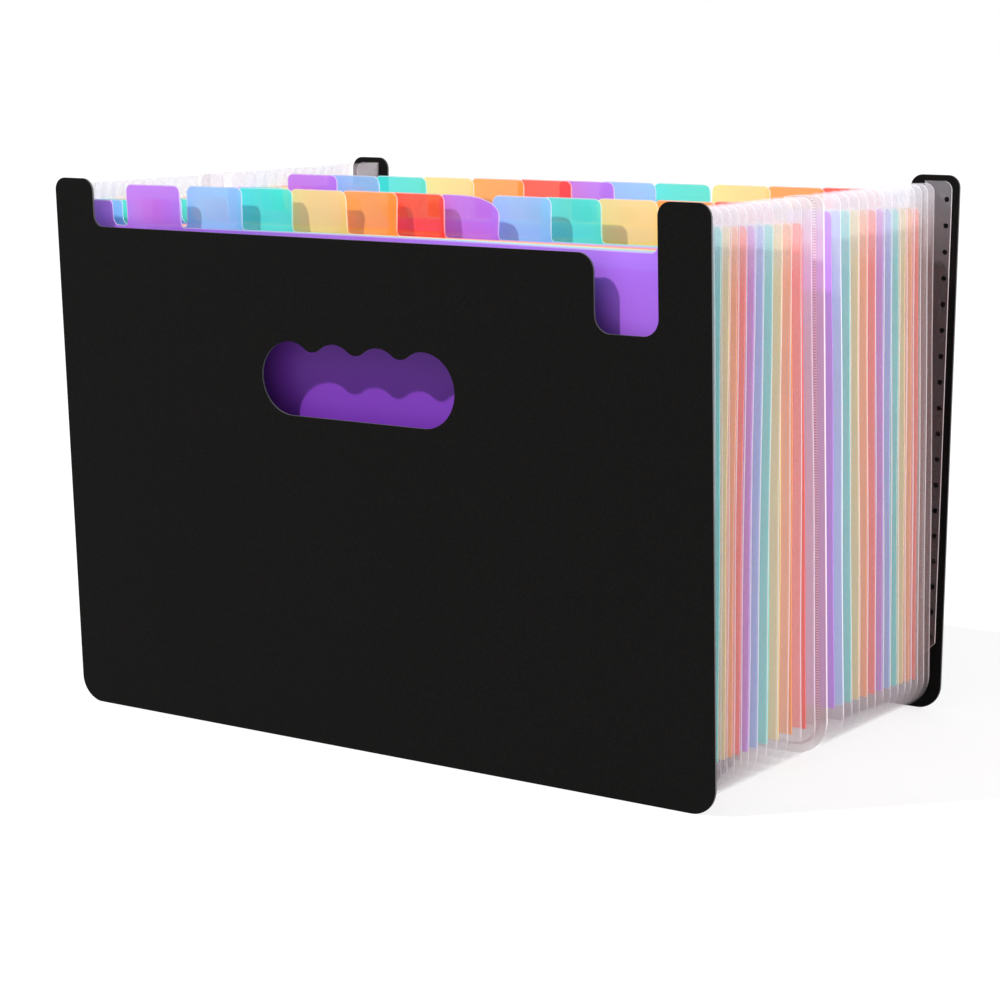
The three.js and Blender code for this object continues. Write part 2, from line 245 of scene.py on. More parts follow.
def grip_outline():
    """Flat below, a half circle at each end, and along the top one arc over each finger,
    with a tangent arc in each dip between two fingers."""
    end_radius = GRIP_HEIGHT / 2
    middle = GRIP_TOP - end_radius
    left = GRIP_LEFT - COVER_WIDTH / 2
    right = left + FINGER_PITCH * (FINGER_COUNT - 1)
    sweep = 2 * np.arctan(2 * SCALLOP_DEPTH / FINGER_PITCH)
    dip_radius = FINGER_PITCH / 2 / np.sin(sweep) - SCALLOP_RADIUS
    up = np.pi / 2
    runs = [arc((right, middle), end_radius, -up, up, 3 * ARC_STEPS)]
    for finger in range(FINGER_COUNT - 1, 0, -1):
        peak = left + finger * FINGER_PITCH
        crown = GRIP_TOP - SCALLOP_RADIUS
        dip = (peak - FINGER_PITCH / 2, GRIP_TOP - SCALLOP_DEPTH + dip_radius)
        runs.append(arc((peak, crown), SCALLOP_RADIUS, up, up + sweep)[1:])
        runs.append(arc(dip, dip_radius, sweep - up, -sweep - up)[1:])
        runs.append(arc((peak - FINGER_PITCH, crown), SCALLOP_RADIUS, up - sweep, up)[1:])
    runs.append(arc((left, middle), end_radius, up, 3 * up, 3 * ARC_STEPS)[1:])
    return np.concatenate(runs)


def cover_outline(with_notch):
    """The outer edge of a cover, from its lower left corner round to the left ear."""
    edge = COVER_WIDTH / 2
    ear_left = LEFT_EAR_WIDTH - edge
    ear_right = edge - RIGHT_EAR_WIDTH
    notch_left = ear_right - NOTCH_WIDTH
    notch = [(ear_right, NOTCH_BOTTOM, NOTCH_RADIUS), (notch_left, NOTCH_BOTTOM, NOTCH_RADIUS),
             (notch_left, MAIN_EDGE_HEIGHT, NOTCH_SHOULDER)]
    return rounded([
        (-edge, 0, FOOT_RADIUS), (edge, 0, FOOT_RADIUS), (edge, COVER_HEIGHT, EAR_RADIUS),
        (ear_right, COVER_HEIGHT, EAR_RADIUS),
        *(notch if with_notch else [(ear_right, MAIN_EDGE_HEIGHT, EAR_FILLET)]),
        (ear_left, MAIN_EDGE_HEIGHT, LEFT_FILLET), (ear_left, COVER_HEIGHT, EAR_RADIUS),
        (-edge, COVER_HEIGHT, EAR_RADIUS)])


def cut_board(name, outlines, low, splay):
    """A board between outlines, with rounded edges, leaning by splay over its height: its middle
    is at y = low + half a thickness + splay * height / cover height. Its cut edges are marked."""
    curve = bpy.data.curves.new(name, "CURVE")
    curve.dimensions = "2D"
    curve.fill_mode = "BOTH"
    curve.extrude = COVER_THICKNESS / 2 - EDGE_ROUNDING
    curve.bevel_depth = EDGE_ROUNDING
    curve.bevel_resolution = EDGE_STEPS
    curve.offset = -EDGE_ROUNDING
    for outline in outlines:
        spline = curve.splines.new("POLY")
        spline.points.add(len(outline) - 1)
        flat = np.column_stack([outline, np.zeros(len(outline)), np.ones(len(outline))])
        spline.points.foreach_set("co", flat.ravel())
        spline.use_cyclic_u = True
    holder = bpy.data.objects.new(name + "_curve", curve)
    scene.collection.objects.link(holder)
    bpy.context.view_layer.update()
    mesh = bpy.data.meshes.new_from_object(holder.evaluated_get(bpy.context.evaluated_depsgraph_get()))
    bpy.data.objects.remove(holder)
    points = np.empty(len(mesh.vertices) * 3)
    mesh.vertices.foreach_get("co", points)
    x, height, out = points.reshape(-1, 3).T
    y = -out + low + COVER_THICKNESS / 2 + splay * height / COVER_HEIGHT + Y_SHIFT
    mesh.vertices.foreach_set("co", (np.stack([x, y, height], 1) * MM).ravel())
    mark = mesh.attributes.new("cut_edge", "FLOAT", "POINT")
    is_cut = np.abs(out) < COVER_THICKNESS / 2 - EDGE_ROUNDING / 2
    mark.data.foreach_set("value", is_cut.astype(float))
    return mesh


def place_piece(name, mesh, material, node):
    """Gives a mesh its material and lets it stand for a CAD node."""
    mesh.materials.append(material)
    mesh.update()
    piece = bpy.data.objects.new(name, mesh)
    scene.collection.objects.link(piece)
    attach(piece, "root")
    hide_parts(node)


def embossed_board():
    """Black polypropylene board, calendered with a fine grain: a dull sheen in broad, slightly
    uneven patches and no mirror, and a greyer line where the die has cut it, partly the cut's own
    colour and partly a painted highlight where the edge catches the light. The real grain, some
    tenths of a millimetre wide, is too fine to show, so it is drawn 0.9 mm wide."""
    material, tree = new_material("embossed_black_polypropylene")
    place = add_node(tree, "ShaderNodeTexCoord").outputs["Object"]
    grain = add_node(tree, "ShaderNodeTexVoronoi", {"Vector": place, "Scale": 1 / (GRAIN_PITCH * MM)})
    patches = add_node(tree, "ShaderNodeTexNoise", {
        "Vector": place, "Scale": 1 / (DULL_PATCH * MM), "Detail": DULL_DETAIL})
    tone = add_node(tree, "ShaderNodeMix", {
        0: grain.outputs["Distance"], 6: linear(BOARD_BLACK), 7: linear(GRAIN_BLACK)}, data_type="RGBA")
    # Cut edges: greyer, partly their own colour and partly a painted highlight where light catches them.
    cut = add_node(tree, "ShaderNodeAttribute", attribute_name="cut_edge")
    edged = add_node(tree, "ShaderNodeMix", {
        0: cut.outputs["Fac"], 6: tone.outputs[2], 7: linear(CUT_GREY_AND_GLINT)}, data_type="RGBA")
    dull = add_node(tree, "ShaderNodeMapRange", {
        "Value": patches.outputs["Fac"], "To Min": BOARD_ROUGHNESS[0], "To Max": BOARD_ROUGHNESS[1]})
    relief = add_node(tree, "ShaderNodeBump", {
        "Height": grain.outputs["Distance"], "Strength": GRAIN_STRENGTH, "Distance": GRAIN_DEPTH * MM})
    board = add_node(tree, "ShaderNodeBsdfPrincipled", {
        "Base Color": edged.outputs[2], "Roughness": dull.outputs[0], "Normal": relief.outputs[0],
        "IOR": POLYPROPYLENE_IOR, "Specular IOR Level": BOARD_GLOSS})
    add_node(tree, "ShaderNodeOutputMaterial", {"Surface": board.outputs[0]})
    return material


board_material = embossed_board()
for cover, with_notch, low, splay in (
        ("front_cover", True, 0.0, -FRONT_SPLAY),
        ("rear_cover", False, OPEN_DEPTH - COVER_THICKNESS, REAR_SPLAY)):
    board = cut_board(cover + "_board", [cover_outline(with_notch), grip_outline()], low, splay)
    place_piece(cover + "_board", board, board_material, cover)


# The two halves of the bellows.
# Clear frosted polypropylene film, scored and folded in zigzag round both sides and the floor,
# with its end flaps welded to the covers and, in the middle, to each other.
FILM_THICKNESS = 0.3
PLEAT_DEPTH = 13.0
FLOOR_PLEAT_DEPTH = 14.0
BELLOWS_INSET = 3.0
BELLOWS_CLEARANCE = 1.0
BELLOWS_TOP = 232.5
BELLOWS_CORNER = 16.0
PLEAT_TIP_RADIUS = 4.0
WALL_LEAN = 1.5
FLAP_SETBACK = 0.2
FLAP_CORNER_CUT = 13.0
FLAP_CORNER_WIDTH = 2.0
FLOOR_FLAP_INSET = 40.0
CLEARANCE = 0.3
TIP_STATIONS = 7
SIDE_TOP = 222.0
SIDE_STATIONS = 12
CORNER_STATIONS = 13
FLOOR_MIDDLE = 12.0
FLOOR_STATIONS = 6

# Where the folds lie: each pair of values is for the table's level and for the cover's top.
DIVIDERS_PER_HALF = 12
SEAM_SHARE = (0.489, 0.436)
FRONT_START = (3.5, 6.0)
FRONT_END = 10.5
FRONT_BULGE = (0.4, 0.1)
REAR_START = 14.0
REAR_END = (4.7, 19.3)
REAR_BULGE = (-0.1, -0.1)
SWAY = 0.35
SWAY_LENGTH = 150.0
SWAY_SEED = 11

# Creases, whitened where the film is bent hardest, and less near the table: partly the film's own
# stress-whitening and partly a painted highlight where the outer folds catch the light.
CREASE_WIDTH = 0.55
WIDEST_CREASE = 0.3
SHARPEST_MITRE = 2.0
CREASE_FADE = (9.0, 17.0)
BARE_CREASE = 0.35
CREASE_RAMP = (0.3, 0.9)
CREASE_WHITE_AND_GLINT = 0.85

# Welds: a row of spots along the cover flaps, and a knurled row along the seam flanges.
FLAP_COLUMNS = 5
FAR_OFF = 99.0
SPOT_REACH = 2.3
SPOT_PITCH = 11.3
SPOT_START = 7.9
SPOT_RADIUS = 1.15
SEAM_ROW_REACH = 4.1
SEAM_ROW_WIDTH = 1.3
SEAM_ROW_PITCH = 1.1
ROW_WHITENING = 0.55

# How milky the film is, and the heights between which it gains a painted glow near its upper edge,
# milkier and greyer-white, for light that falls in from above.
FILM_WHITE = "#f7ecf1"
FILM_TOP_GLOW = "#dedce3"
FILM_ROUGHNESS = 0.3
MILK = 0.135
TOP_GLOW_MILK = 0.3
TOP_GLOW_HEIGHTS = (201.0, 228.0)
SEAM_MILK = 0.15
FLAP_CLEARING = 0.3

front_face = np.array([COVER_THICKNESS, COVER_THICKNESS - FRONT_SPLAY])
rear_face = np.array([OPEN_DEPTH - COVER_THICKNESS, OPEN_DEPTH - COVER_THICKNESS + REAR_SPLAY])
seam = front_face + np.array(SEAM_SHARE) * (rear_face - front_face)


def outer_folds(first, last, count, bulge):
    """Fold lines [low, high], spread as (1 - bulge) * s + bulge * s cubed from the first to the last."""
    share = np.linspace(0, 1, count)[:, None]
    return first + (last - first) * ((1 - bulge) * share + bulge * share ** 3)


front_folds = outer_folds(
    front_face + FRONT_START, seam - FRONT_END, DIVIDERS_PER_HALF, np.array(FRONT_BULGE))
rear_folds = outer_folds(
    seam + REAR_START, rear_face - REAR_END, DIVIDERS_PER_HALF + 1, np.array(REAR_BULGE))
phases = np.random.default_rng(SWAY_SEED).uniform(0, 2 * np.pi, (2, DIVIDERS_PER_HALF + 1))


def sway(height, phase):
    """How far a fold wanders: a sine of the height, SWAY either way, the phase its own."""
    return SWAY * np.sin(2 * np.pi * height / SWAY_LENGTH + phase)


def bellows_run():
    """Stations down one side and half of the floor, then mirrored: outer and inner fold points
    (x, z), how far the pleat tips draw in, and how deep the free edge of a cover flap lies."""
    fold_x = COVER_WIDTH / 2 - BELLOWS_INSET
    corner = np.array([fold_x - BELLOWS_CORNER, BELLOWS_CLEARANCE + BELLOWS_CORNER])
    tip = np.linspace(np.pi / 2, 0, TIP_STATIONS)
    tip_z = BELLOWS_TOP - PLEAT_TIP_RADIUS * (1 - np.sin(tip))
    tip_in = PLEAT_TIP_RADIUS * (1 - np.cos(tip))
    side_z = np.linspace(SIDE_TOP, corner[1] + FLAP_CORNER_CUT, SIDE_STATIONS)
    z = np.concatenate([tip_z, side_z, [corner[1] + FLAP_CORNER_WIDTH]])
    inset = np.concatenate([tip_in, np.zeros(len(z) - len(tip_in))])
    flap = FLAP_SETBACK + inset
    flap[-1] = PLEAT_DEPTH - FLAP_CORNER_WIDTH
    side_outer = np.stack([np.full(len(z), fold_x), z], 1)
    side_inner = side_outer - [PLEAT_DEPTH, 0]
    angle = np.linspace(0, np.pi / 2, CORNER_STATIONS)
    ray = np.stack([np.cos(angle), -np.sin(angle)], 1)
    corner_outer = corner + BELLOWS_CORNER * ray
    corner_inner = corner + ray * [BELLOWS_CORNER - PLEAT_DEPTH, BELLOWS_CORNER - FLOOR_PLEAT_DEPTH]
    corner_flap = np.linalg.norm(corner_outer - corner_inner, axis=1) - FLAP_CORNER_WIDTH
    floor_x = np.linspace(fold_x - FLOOR_FLAP_INSET, FLOOR_MIDDLE, FLOOR_STATIONS)
    floor_outer = np.stack([floor_x, np.full(FLOOR_STATIONS, BELLOWS_CLEARANCE)], 1)
    floor_inner = floor_outer + [0, FLOOR_PLEAT_DEPTH]
    outer = np.concatenate([side_outer, corner_outer, floor_outer])
    inner = np.concatenate([side_inner, corner_inner, floor_inner])
    inset = np.concatenate([inset, np.zeros(len(outer) - len(inset))])
    flap = np.concatenate([flap, corner_flap, np.full(FLOOR_STATIONS, FLAP_SETBACK)])
    mirror = np.array([-1.0, 1.0])
    return (np.concatenate([outer * mirror, outer[::-1]]), np.concatenate([inner * mirror, inner[::-1]]),
            np.concatenate([inset, inset[::-1]]), np.concatenate([flap, flap[::-1]]))


def closed_sheet(name, front, rear, marks):
    """A mesh of two grids of points back to back, closed round the rim by a strip between them.
    Each of marks has one value for each point of a grid, and both faces carry it as an attribute."""
    rows, columns = front.shape[:2]
    shift = rows * columns
    grid = np.arange(shift).reshape(rows, columns)
    quad = np.stack([grid[:-1, :-1], grid[:-1, 1:], grid[1:, 1:], grid[1:, :-1]], 2).reshape(-1, 4)
    rim = np.concatenate([grid[0, :], grid[1:, -1], grid[-1, -2::-1], grid[-2:0:-1, 0]])
    onward = np.roll(rim, -1)
    strip = np.stack([rim, rim + shift, onward + shift, onward], 1)
    faces = np.concatenate([quad, quad[:, ::-1] + shift, strip])
    points = np.concatenate([front.reshape(-1, 3), rear.reshape(-1, 3)])
    mesh = bpy.data.meshes.new(name)
    mesh.from_pydata((points * MM).tolist(), [], faces.tolist())
    for title, value in marks.items():
        layer = mesh.attributes.new(title, "FLOAT", "POINT")
        layer.data.foreach_set("value", np.tile(value.ravel(), 2))
    return mesh


def folded_film(name, folds, phase, cover_line, seam_line, cover_first):
    """A zigzag carried along the U-shaped run. Each fold has a depth below the outer folds and a
    line across, which sways; a point CREASE_WIDTH to either side of it bounds the crease. The film
    is the zigzag moved half a thickness to both sides, with mitred corners. Its marks are how white
    the crease is, the distance along the run from its nearer end, and, on the two end flaps only,
    the distance in from the flap's free edge."""
    outer, inner, inset, flap = bellows_run()
    full = np.linalg.norm(outer - inner, axis=1)
    pleats = [column for fold, own in zip(folds, phase)
              for column in ((inset, fold, 1, own), (full, fold + WALL_LEAN, 1, own))]
    cover_flap = [(flap, cover_line, 0, 0), (full, cover_line, 0, 0)]
    seam_flap = [(full, seam_line, 0, 0), (inset, seam_line, 0, 0)]
    if cover_first:
        columns = cover_flap + pleats + seam_flap
    else:
        columns = seam_flap[::-1] + pleats[:-1] + cover_flap[::-1]
    depth = np.stack([column[0] for column in columns], 1)
    line = np.stack([column[1] for column in columns])
    loose, own = np.array([column[2:] for column in columns], float).T
    share = depth / full[:, None]
    height = outer[:, 1:] * (1 - share) + inner[:, 1:] * share
    across = line[:, 0] + (line[:, 1] - line[:, 0]) * height / COVER_HEIGHT
    across += loose * sway(height, own)
    main = np.stack([depth, across], 2)

    step = np.diff(main, axis=1)
    crease = np.minimum(CREASE_WIDTH / np.linalg.norm(step, axis=2, keepdims=True), WIDEST_CREASE)
    after = main[:, :-1] + step * crease
    middle = main[:, :-1] + step / 2
    before = main[:, 1:] - step * crease
    fine = np.stack([main[:, :-1], after, middle, before], 2).reshape(len(main), -1, 2)
    fine = np.concatenate([fine, main[:, -1:]], 1)
    along = np.diff(fine, axis=1)
    travelled = np.linalg.norm(along, axis=2)
    along /= travelled[..., None]
    normal = np.stack([-along[..., 1], along[..., 0]], 2)
    first = np.concatenate([normal[:, :1], normal], 1)
    second = np.concatenate([normal, normal[:, -1:]], 1)
    between = first + second
    between /= np.linalg.norm(between, axis=2, keepdims=True)
    mitre = 1 / (between * second).sum(2, keepdims=True)
    turn = (first[..., 0] * second[..., 1] - first[..., 1] * second[..., 0])[..., None]
    faces = []
    for side in (-0.5, 0.5):
        reach = np.where(turn * side < 0, np.minimum(mitre, SHARPEST_MITRE), mitre)
        moved = fine + between * reach * side * FILM_THICKNESS
        part = moved[..., :1] / full[:, None, None]
        x = outer[:, None, :1] * (1 - part) + inner[:, None, :1] * part
        z = outer[:, None, 1:] * (1 - part) + inner[:, None, 1:] * part
        faces.append(np.concatenate([x, moved[..., 1:] + Y_SHIFT, z], 2).swapaxes(0, 1))

    rows, count = fine.shape[:2]
    white = np.zeros((rows, count))
    whitening_and_glint = np.interp(outer[:, 1:], CREASE_FADE, [BARE_CREASE, 1])
    # Crease white on the outer folds: partly stress-whitening, partly a painted highlight where they catch
    # the light.
    white[:, ::4] = np.where(depth < full[:, None] / 2, whitening_and_glint, 0)
    run = np.concatenate([[0], np.cumsum(np.linalg.norm(np.diff(outer, axis=0), axis=1))])
    run = np.minimum(run, run[-1] - run)
    from_left = np.concatenate([np.zeros((rows, 1)), np.cumsum(travelled, axis=1)], 1)
    from_right = from_left[:, -1:] - from_left
    left = np.where(np.arange(count) < FLAP_COLUMNS, from_left, FAR_OFF)
    right = np.where(np.arange(count) >= count - FLAP_COLUMNS, from_right, FAR_OFF)
    cover_reach, seam_reach = (left, right) if cover_first else (right, left)
    return closed_sheet(name, *faces, {
        "crease": white.T, "run": np.tile(run, (count, 1)),
        "cover_reach": cover_reach.T, "seam_reach": seam_reach.T})


def frosted_film():
    """Clear polypropylene film with a fine frosted face: a little milky, more so near the top, where a
    glow of light is painted in, and white where it is creased, partly from stress-whitening and partly
    a painted highlight.
    In the welds it has melted: the round spots on the cover flaps are quite clear, and the row on
    the seam flanges is whitened. Its rear faces are left clear, so that each layer counts once."""
    material, tree = new_material("frosted_polypropylene_film")
    value = {title: add_node(tree, "ShaderNodeAttribute", attribute_name=title).outputs["Fac"]
             for title in ("run", "cover_reach", "seam_reach", "crease")}
    place = add_node(tree, "ShaderNodeTexCoord")
    height = add_node(tree, "ShaderNodeSeparateXYZ", {"Vector": place.outputs["Object"]})
    # Painted glow: the film turns milkier and greyer-white towards its top edge, where light falls in from
    # above.
    value["top_glow_share"] = add_node(tree, "ShaderNodeMapRange", {
        "Value": height.outputs["Z"], "From Min": TOP_GLOW_HEIGHTS[0] * MM,
        "From Max": TOP_GLOW_HEIGHTS[1] * MM}).outputs[0]
    # Crease white: partly stress-whitening, partly a painted highlight on the outer folds.
    value["crease_white_and_glint"] = add_node(tree, "ShaderNodeMapRange", {
        "Value": value["crease"], "From Min": CREASE_RAMP[0], "From Max": CREASE_RAMP[1],
        "To Max": CREASE_WHITE_AND_GLINT}).outputs[0]
    value["backfacing"] = add_node(tree, "ShaderNodeNewGeometry").outputs["Backfacing"]
    for result, operation, *given in (
            ("spot_across", "SUBTRACT", "cover_reach", SPOT_REACH),
            ("from_start", "SUBTRACT", "run", SPOT_START),
            ("spot_along", "WRAP", "from_start", SPOT_PITCH / 2, -SPOT_PITCH / 2),
            ("across_squared", "MULTIPLY", "spot_across", "spot_across"),
            ("along_squared", "MULTIPLY", "spot_along", "spot_along"),
            ("squares", "ADD", "across_squared", "along_squared"),
            ("spot_distance", "SQRT", "squares"),
            ("outside_spot", "GREATER_THAN", "spot_distance", SPOT_RADIUS),
            ("row_offset", "SUBTRACT", "seam_reach", SEAM_ROW_REACH),
            ("row_across", "ABSOLUTE", "row_offset"),
            ("in_row", "LESS_THAN", "row_across", SEAM_ROW_WIDTH / 2),
            ("row_along", "WRAP", "run", SEAM_ROW_PITCH / 2, -SEAM_ROW_PITCH / 2),
            ("knurl", "GREATER_THAN", "row_along", 0.0),
            ("row_knurled", "MULTIPLY", "in_row", "knurl"),
            ("row_white", "MULTIPLY", "row_knurled", ROW_WHITENING),
            ("frost_and_top_glow", "MULTIPLY_ADD", "top_glow_share", TOP_GLOW_MILK - MILK, MILK),
            ("on_flap", "LESS_THAN", "cover_reach", PLEAT_DEPTH),
            ("clearing", "MULTIPLY", "on_flap", FLAP_CLEARING),
            ("cleared", "SUBTRACT", 1.0, "clearing"),
            ("on_flange", "LESS_THAN", "seam_reach", PLEAT_DEPTH),
            ("flange_milk", "MULTIPLY", "on_flange", SEAM_MILK),
            ("flap_milk", "MULTIPLY", "frost_and_top_glow", "cleared"),
            ("body", "ADD", "flap_milk", "flange_milk"),
            ("body_and_row", "ADD", "row_white", "body"),
            ("whole", "MAXIMUM", "body_and_row", "crease_white_and_glint"),
            ("pierced", "MULTIPLY", "whole", "outside_spot"),
            ("entering", "SUBTRACT", 1.0, "backfacing"),
            ("opacity", "MULTIPLY", "pierced", "entering")):
        inputs = {index: value.get(entry, entry) for index, entry in enumerate(given)}
        value[result] = add_node(tree, "ShaderNodeMath", inputs, operation=operation).outputs[0]
    # Painted glow: the film's colour near the top.
    tone = add_node(tree, "ShaderNodeMix", {
        0: value["top_glow_share"], 6: linear(FILM_WHITE), 7: linear(FILM_TOP_GLOW)}, data_type="RGBA")
    film = add_node(tree, "ShaderNodeBsdfPrincipled", {
        "Base Color": tone.outputs[2], "Alpha": value["opacity"],
        "Roughness": FILM_ROUGHNESS, "IOR": POLYPROPYLENE_IOR})
    add_node(tree, "ShaderNodeOutputMaterial", {"Surface": film.outputs[0]})
    return material


film_material = frosted_film()
flap_gap = CLEARANCE + FILM_THICKNESS / 2
seam_gap = (CLEARANCE + FILM_THICKNESS) / 2
for bellows, folds, phase, cover_line, seam_line, cover_first in (
        ("front_bellows", front_folds, phases[0], front_face + flap_gap, seam - seam_gap, True),
        ("rear_bellows", rear_folds, phases[1], rear_face - flap_gap, seam + seam_gap, False)):
    film = folded_film(bellows + "_film", folds, phase, cover_line, seam_line, cover_first)
    place_piece(bellows + "_film", film, film_material, bellows)


# The 24 dividers.
# Die-cut sheets of coloured translucent polypropylene, six colours in turn, each welded by its
# side strips inside one pleat; they bow a little, and their tabs step along in two rows.
SHEET_THICKNESS = 0.4
EDGE_SETBACK = 4.0
SHEET_BOTTOM = 17.0
SHOULDER_TOP = 225.0
SHOULDER_WIDTH = 20.0
TAB_TOP = 231.3
TAB_HEIGHT = 15.5
TAB_WIDTH = 29.0
TAB_INSET = 8.2
LAST_TAB_REACH = 8.5
TAB_RADIUS = 3.0
SHOULDER_RADIUS = 1.5
SHEET_LIFT = (1.5, -1.7)
FRONT_TAB_DRIFT = (0, 5, 4.5, 6.5, 6, 4, 4.5, 3.5, 1, 0.5, 0.5, 0)
REAR_TAB_DRIFT = (8, 4, 1.5, -1, -1, -3, -7, -13, -11, -8.5, -7, -7)
BODY_DROP = 2.2
STEP_WIDTH = 0.02
LEAST_STEP = 1e-4
CORNER_STEPS = 4
COLUMN_PITCH = 4.0
BODY_ROWS = 12
TAB_ROWS = 4

# The bow of the first sheets, which fades out over the next ones, the chance share in each
# sheet's bow and in its tab's lean, and the bent corner of one tab.
FIRST_BOW = 7.6
BOWED_SHEETS = 6
BOW_CHANCE = 0.8
LEAN_CHANCE = 1.2
CHANCE_SEED = 24
BENT_TAB = 6
BEND_DROP = 5.7
BEND_BACK = 2.0
BEND_POWER = 5

# The sheets' colours, how much lighter they are in cloudy patches, the painted shade that darkens
# them down in the pocket, where little light reaches, and the painted highlight along the cut edge round the
# top.
SHEET_COLOURS = (
    ("violet", "#ba70ec"), ("blue", "#8cc0f4"), ("teal", "#42e2d2"),
    ("yellow", "#ffda86"), ("orange", "#ff9c40"), ("red", "#fd4528"))
LIGHT_TONE = 1.12
POCKET_SHADE_TONE = 0.8
POCKET_SHADE_POWER = 1.5
POCKET_SHADE_GAIN = 4
POCKET_SHADE_BELOW = 205.0
POCKET_SHADE_FADE = 45.0
CLOUD_SIZE = 33.3
EDGE_LINE = (0.3, 0.5)
EDGE_HIGHLIGHT_WHITE = "#f4eef2"
EDGE_HIGHLIGHT_STRENGTH = 0.45
EDGE_MARGIN = 0.1
SHEET_OPACITY = 0.88
SHEET_ROUGHNESS = 0.42
SHEET_GLOSS = 0.35
LIGHT_THROUGH = 0.3

# Each kind of corner along a top edge, from left to right: where the centre of its arc lies, in
# radii sideways and upwards, and the arc's first and last angle in quarter turns.
CORNER_ARCS = {
    "rise_to_flat": (1, -1, 2, 1), "flat_to_fall": (-1, -1, 1, 0),
    "fall_to_flat": (1, 1, -2, -1), "flat_to_rise": (-1, 1, -1, 0)}


def top_edge(tab_left):
    """The top edge of a sheet from left to right, as x and height: shoulder, body, tab, body,
    shoulder, each corner an arc and each upright side a step STEP_WIDTH wide."""
    edge = COVER_WIDTH / 2 - BELLOWS_INSET - EDGE_SETBACK
    shoulder = edge - SHOULDER_WIDTH
    body = TAB_TOP - TAB_HEIGHT
    tab_right = tab_left + TAB_WIDTH
    corners = [
        (-edge, SHOULDER_TOP, SHOULDER_RADIUS, "rise_to_flat"),
        (-shoulder, SHOULDER_TOP, SHOULDER_RADIUS, "flat_to_fall"),
        (-shoulder + STEP_WIDTH, body, TAB_RADIUS, "fall_to_flat"),
        (tab_left, body, SHOULDER_RADIUS, "flat_to_rise"),
        (tab_left + STEP_WIDTH, TAB_TOP, TAB_RADIUS, "rise_to_flat"),
        (tab_right, TAB_TOP, TAB_RADIUS, "flat_to_fall")]
    if tab_right > shoulder - 2 * TAB_RADIUS:
        corners.append((tab_right + STEP_WIDTH, SHOULDER_TOP, SHOULDER_RADIUS, "fall_to_flat"))
    else:
        corners += [
            (tab_right + STEP_WIDTH, body, SHOULDER_RADIUS, "fall_to_flat"),
            (shoulder, body, TAB_RADIUS, "flat_to_rise"),
            (shoulder + STEP_WIDTH, SHOULDER_TOP, SHOULDER_RADIUS, "rise_to_flat")]
    corners.append((edge, SHOULDER_TOP, SHOULDER_RADIUS, "flat_to_fall"))
    runs = []
    for x, z, radius, kind in corners:
        sideways, upwards, first, last = CORNER_ARCS[kind]
        centre = (x + sideways * radius, z + upwards * radius)
        runs.append(arc(centre, radius, first * np.pi / 2, last * np.pi / 2, CORNER_STEPS))
    x, z = np.concatenate(runs).T
    x = np.maximum.accumulate(x + np.arange(len(x)) * LEAST_STEP)
    columns = np.union1d(x, np.arange(COLUMN_PITCH - edge, edge, COLUMN_PITCH))
    return columns, np.interp(columns, x, z)


def sheet(name, fold, phase, tab_left, lift, bow, tab_lean, bend):
    """A grid between the bottom edge and the top edge, on the sloping plane of its pleat, bowed
    by bow * (1 - (x / inner fold) squared) squared * sin(quarter turn * height share), its tab
    leaning by tab_lean, and the tab's right corner bent down and back by bend * the share across
    it to the power BEND_POWER. Its marks are the distances from the top edge and from the tab's
    sides, and how much painted shade a point gets, low in the pocket where little light reaches."""
    x, top = top_edge(tab_left)
    top = top - BODY_DROP * (TAB_TOP - top) / TAB_HEIGHT
    body = TAB_TOP - TAB_HEIGHT - BODY_DROP
    bottom = np.full(len(x), SHEET_BOTTOM)
    bottom[[0, -1]] += SHOULDER_RADIUS
    top_share = (body - SHEET_BOTTOM) / (TAB_TOP - SHEET_BOTTOM)
    share = np.linspace(0, top_share, BODY_ROWS)
    share = np.concatenate([share, np.linspace(top_share, 1, TAB_ROWS + 1)[1:]])[:, None]
    height = bottom + (top - bottom) * share

    inner_x = COVER_WIDTH / 2 - BELLOWS_INSET - PLEAT_DEPTH
    rounding = np.clip(1 - (x / inner_x) ** 2, 0, 1) ** 2
    body_share = np.clip((height - SHEET_BOTTOM) / (body - SHEET_BOTTOM), 0, 1)
    wave = bow * rounding * np.sin(np.pi / 2 * body_share)
    tab_share = np.clip((height - body) / (TAB_TOP - body), 0, 1)
    on_tab = np.abs(x - tab_left - (TAB_WIDTH + STEP_WIDTH) / 2) < TAB_WIDTH / 2
    curl = bend * on_tab * tab_share * np.clip((x - tab_left) / TAB_WIDTH, 0, 1) ** BEND_POWER
    z = height + lift - BEND_DROP * curl
    slope = (fold[1] - fold[0]) / COVER_HEIGHT
    wall = WALL_LEAN * EDGE_SETBACK / PLEAT_DEPTH - FILM_THICKNESS / 2
    y = fold[0] + slope * z + wall - CLEARANCE - SHEET_THICKNESS / 2 + wave
    y += tab_lean * on_tab * tab_share + sway(z, phase) + BEND_BACK * curl
    front = np.stack([np.broadcast_to(x, z.shape), y - SHEET_THICKNESS / 2 + Y_SHIFT, z], 2)

    # Distances that place the painted highlight along the top edge and the tab's sides.
    inside = np.where(on_tab, np.minimum(x - tab_left, tab_left + TAB_WIDTH - x), TAB_WIDTH)
    inside = np.where(height > body - EDGE_MARGIN, inside, TAB_WIDTH)
    # Painted shade: darker low down in the pocket and away from the sheet's sides, where little light
    # reaches.
    pocket_shade = np.clip(POCKET_SHADE_GAIN * rounding, 0, 1) * np.clip((POCKET_SHADE_BELOW - height) / POCKET_SHADE_FADE, 0, 1)
    return closed_sheet(name, front, front + [0, SHEET_THICKNESS, 0], {
        "below_top": top - height, "inside_tab": inside, "pocket_shade": pocket_shade})


